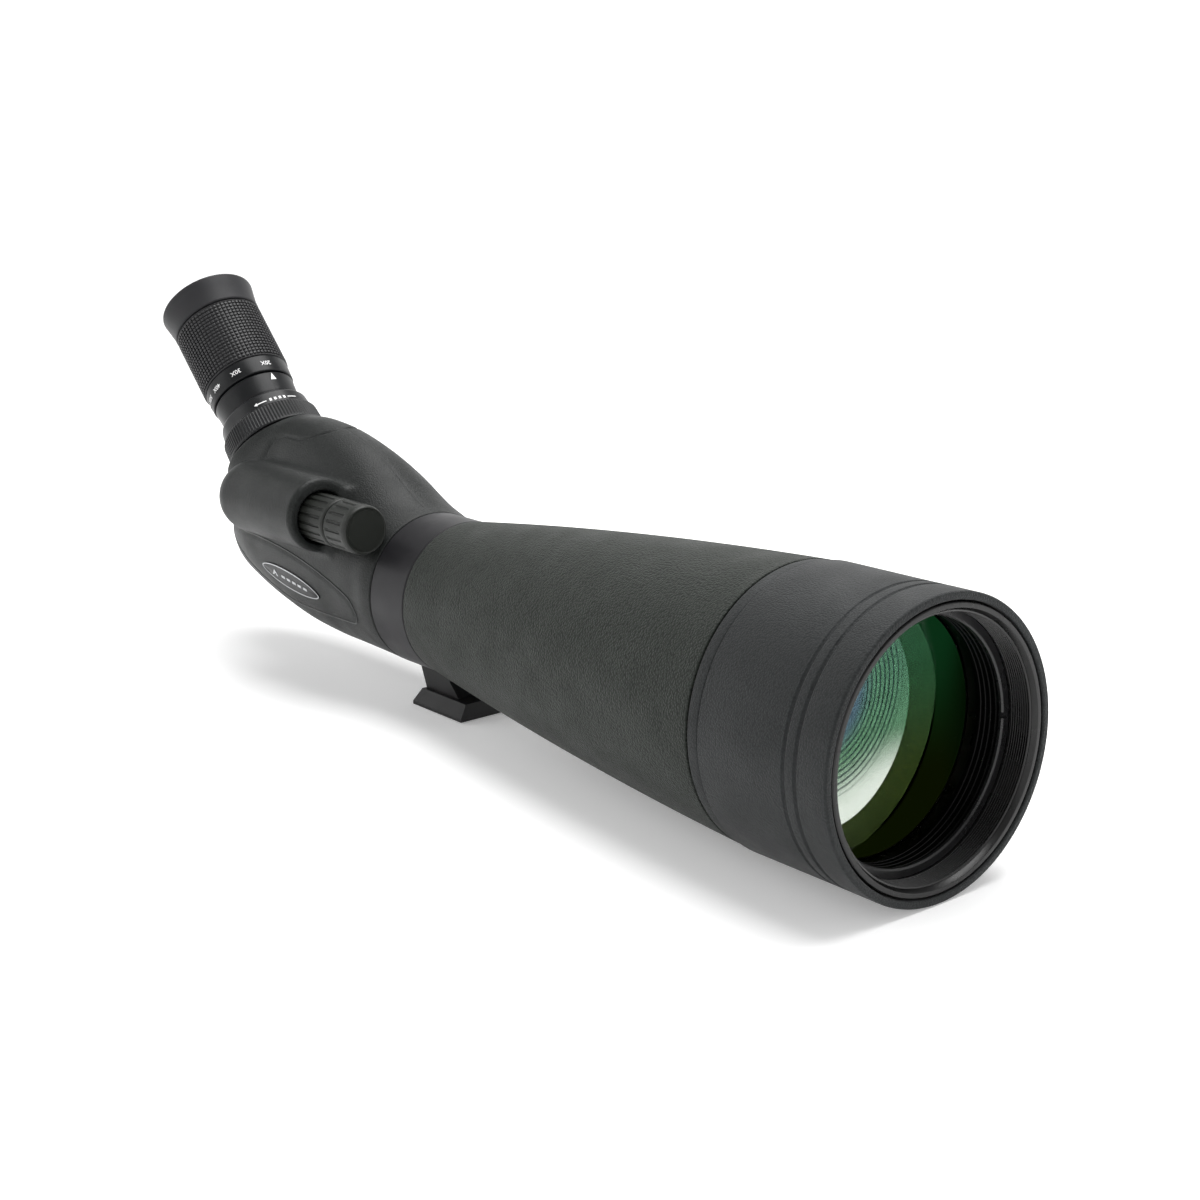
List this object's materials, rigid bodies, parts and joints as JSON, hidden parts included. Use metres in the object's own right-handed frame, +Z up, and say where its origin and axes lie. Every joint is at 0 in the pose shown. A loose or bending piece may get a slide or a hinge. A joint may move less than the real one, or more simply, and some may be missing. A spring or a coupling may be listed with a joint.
{
  "type": "spotting scope",
  "caption": "Angled spotting scope with a large tapered objective tube, sliding sunshade, rotating tripod foot, two-speed focus knobs and a zoom eyepiece.",
  "frame": {"origin": "centre of the tripod socket in the foot's underside", "axes": "+X forward along the optical axis to the objective, +Y to the scope's left, +Z up"},
  "size_m": [0.562, 0.1186, 0.1993],
  "materials": {
    "armor": "fine pebbled rubber",
    "housing": "satin rubber over a moulded shell",
    "collar_metal": "smooth satin black",
    "black_metal": "black anodised",
    "foot_metal": "satin black paint",
    "tube_metal": "bare aluminium, matt black inside",
    "grey_ring": "worn grey anodised",
    "knob": "satin moulded rubber",
    "grip_rubber": "studded soft rubber",
    "eyepiece_black": "fine matt black",
    "seal": "smooth",
    "nylon": "natural nylon",
    "steel": "bright",
    "brass": "turned",
    "optical_glass": "green anti-reflection coating",
    "prism_glass": "ground and polished",
    "badge": "bright edge on black",
    "white_mark": "white filled mark"
  },
  "bodies": {
    "mount_collar": {"tripod_collar": "collar_metal", "collar_liner": "nylon", "tripod_foot": "foot_metal", "thread_insert": "brass", "foot_screws": "steel", "clamp_pad": "nylon"},
    "clamp": {"clamp_screw": "steel", "clamp_knob": "knob"},
    "scope": {"main_tube": "tube_metal", "tube_armor": "armor", "front_band": "armor", "tube_baffles": "black_metal", "shade_guides": "seal", "objective_cell": "black_metal", "objective_o_ring": "seal", "objective_front_element": "optical_glass", "lens_spacer": "black_metal", "objective_rear_element": "optical_glass", "lens_sleeve": "black_metal", "retaining_ring": "grey_ring", "tube_flange": "black_metal", "housing_right": "housing", "housing_left": "housing", "spine_cover": "housing", "badge_plate": "badge", "housing_screws": "steel", "prism_holder": "black_metal", "roof_prism": "prism_glass", "prism_clamp": "steel", "guide_rods": "steel", "focus_bushing": "brass", "eyepiece_seat": "black_metal", "port_seal": "seal", "eyepiece_body": "eyepiece_black", "index_mark": "white_mark", "eyepiece_core": "black_metal", "field_lens": "optical_glass", "eye_lens_cell": "black_metal", "eye_lens": "optical_glass"},
    "shade": {"sunshade": "armor"},
    "coarse_drive": {"coarse_shaft": "steel", "coarse_knob": "knob"},
    "fine_drive": {"fine_shaft": "steel", "fine_knob": "knob", "fine_knob_cap": "knob"},
    "carriage": {"focus_carriage": "tube_metal", "focus_nut": "brass"},
    "focus_cell": {"focus_lens_cell": "black_metal", "focus_lens": "optical_glass"},
    "lock": {"lock_ring": "eyepiece_black"},
    "zoom_ring": {"zoom_barrel": "black_metal", "zoom_cam": "brass", "scale_ring": "eyepiece_black", "zoom_grip": "grip_rubber"},
    "zoom_front": {"zoom_cell_front": "optical_glass"},
    "zoom_rear": {"zoom_cell_rear": "optical_glass"},
    "cup_guide": {"eyecup_guide": "black_metal"},
    "cup": {"eyecup_sleeve": "black_metal", "eyecup": "grip_rubber"}
  },
  "joints": [
    {"name": "collar_turn", "type": "hinge", "parent": "mount_collar", "child": "scope", "pos_m": [0, 0, 0.054], "axis": [1, 0, 0], "continuous": true},
    {"name": "clamp_turn", "type": "hinge", "parent": "mount_collar", "child": "clamp", "pos_m": [-0.008, 0.045, 0.054], "axis": [0, 1, 0], "range_deg": [0, 360]},
    {"name": "sunshade_slide", "type": "slide", "parent": "scope", "child": "shade", "axis": [1, 0, 0], "range_m": [0, 0.045]},
    {"name": "coarse_focus_turn", "type": "hinge", "parent": "scope", "child": "coarse_drive", "pos_m": [-0.06, -0.038, 0.089], "axis": [1, 0, 0], "range_deg": [-450, 450]},
    {"name": "carriage_slide", "type": "slide", "parent": "scope", "child": "carriage", "axis": [1, 0, 0], "range_m": [-0.00895, 0.00895]},
    {"name": "fine_focus_turn", "type": "hinge", "parent": "coarse_drive", "child": "fine_drive", "pos_m": [-0.035, -0.038, 0.089], "axis": [1, 0, 0], "range_deg": [-540, 540]},
    {"name": "focus_cell_slide", "type": "slide", "parent": "carriage", "child": "focus_cell", "axis": [1, 0, 0], "range_m": [-0.00113, 0.00113]},
    {"name": "lock_ring_turn", "type": "hinge", "parent": "scope", "child": "lock", "pos_m": [-0.116, 0, 0.054], "axis": [-0.7071, 0, 0.7071], "range_deg": [0, 60]},
    {"name": "zoom_ring_turn", "type": "hinge", "parent": "scope", "child": "zoom_ring", "pos_m": [-0.116, 0, 0.054], "axis": [-0.7071, 0, 0.7071], "range_deg": [0, 118]},
    {"name": "zoom_front_slide", "type": "slide", "parent": "scope", "child": "zoom_front", "axis": [-0.7071, 0, 0.7071], "range_m": [0, 0.022]},
    {"name": "zoom_rear_slide", "type": "slide", "parent": "scope", "child": "zoom_rear", "axis": [-0.7071, 0, 0.7071], "range_m": [-0.016, 0]},
    {"name": "eyecup_rise", "type": "slide", "parent": "scope", "child": "cup_guide", "axis": [-0.7071, 0, 0.7071], "range_m": [0, 0.00795]},
    {"name": "eyecup_twist", "type": "hinge", "parent": "cup_guide", "child": "cup", "pos_m": [-0.116, 0, 0.054], "axis": [-0.7071, 0, 0.7071], "range_deg": [0, 120]}
  ],
  "couplings": [
    {"joint": "coarse_focus_turn", "follows": "carriage_slide", "rad_per_m": 877.19},
    {"joint": "fine_focus_turn", "follows": "focus_cell_slide", "rad_per_m": 8333.3},
    {"joint": "zoom_front_slide", "follows": "zoom_ring_turn", "m_per_rad": 0.0105},
    {"joint": "zoom_rear_slide", "follows": "zoom_ring_turn", "m_per_rad": -0.0077},
    {"joint": "eyecup_twist", "follows": "eyecup_rise", "rad_per_m": 263.16}
  ]
}
